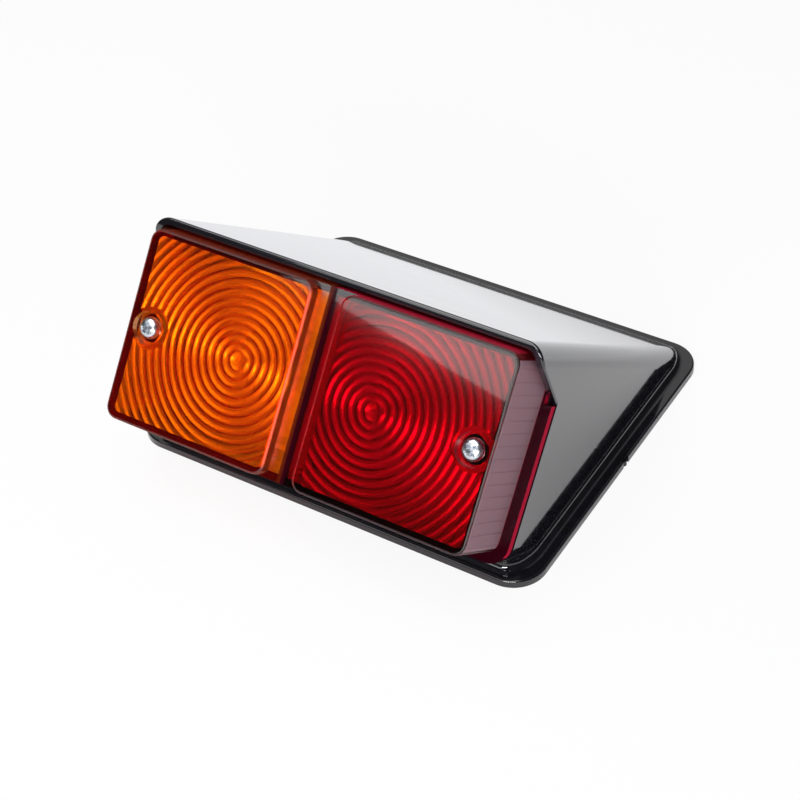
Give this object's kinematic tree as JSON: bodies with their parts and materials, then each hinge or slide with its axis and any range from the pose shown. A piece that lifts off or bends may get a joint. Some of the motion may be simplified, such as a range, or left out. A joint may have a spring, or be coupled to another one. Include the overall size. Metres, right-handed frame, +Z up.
{
  "type": "tail light cluster",
  "caption": "Amber and red vehicle tail light: ring-optic lenses side by side in a black hooded wedge housing with a bolt-down base flange.",
  "frame": {"origin": "centre of the base flange on its mounting face", "axes": "+Z up from the mounting face, X along the lamp, the lens faces -Y and up"},
  "size_m": [0.1672, 0.1603, 0.0878],
  "materials": {
    "housing_black": "smooth glossy moulded black",
    "lens_amber": "clear amber moulding with ring optics inside",
    "lens_red": "clear red moulding with ring optics inside",
    "seal_rubber": "matt black rubber",
    "zinc_steel": "bright zinc-plated steel",
    "insert_brass": "turned brass",
    "tray_white": "white moulded plastic",
    "socket_steel": "tinned steel pressing",
    "insulator_board": "brown phenolic board",
    "contact_bronze": "springy bronze strip",
    "cap_brass": "nickelled brass cap",
    "bulb_glass": "clear glass"
  },
  "bodies": {
    "root": {"housing": "housing_black", "base_seal": "seal_rubber", "mounting_inserts": "insert_brass", "cable_grommet": "seal_rubber", "lens_seal": "seal_rubber", "amber_lens": "lens_amber", "red_lens": "lens_red", "lens_screws": "zinc_steel", "tray_screws": "zinc_steel", "bulb_tray": "tray_white", "indicator_socket": "socket_steel", "stop_tail_socket": "socket_steel", "indicator_insulator": "insulator_board", "stop_tail_insulator": "insulator_board", "indicator_contact": "contact_bronze", "stop_contact": "contact_bronze", "tail_contact": "contact_bronze", "indicator_bulb_cap": "cap_brass", "stop_tail_bulb_cap": "cap_brass", "indicator_bulb_glass": "bulb_glass", "stop_tail_bulb_glass": "bulb_glass", "earth_strip": "socket_steel"}
  },
  "joints": []
}
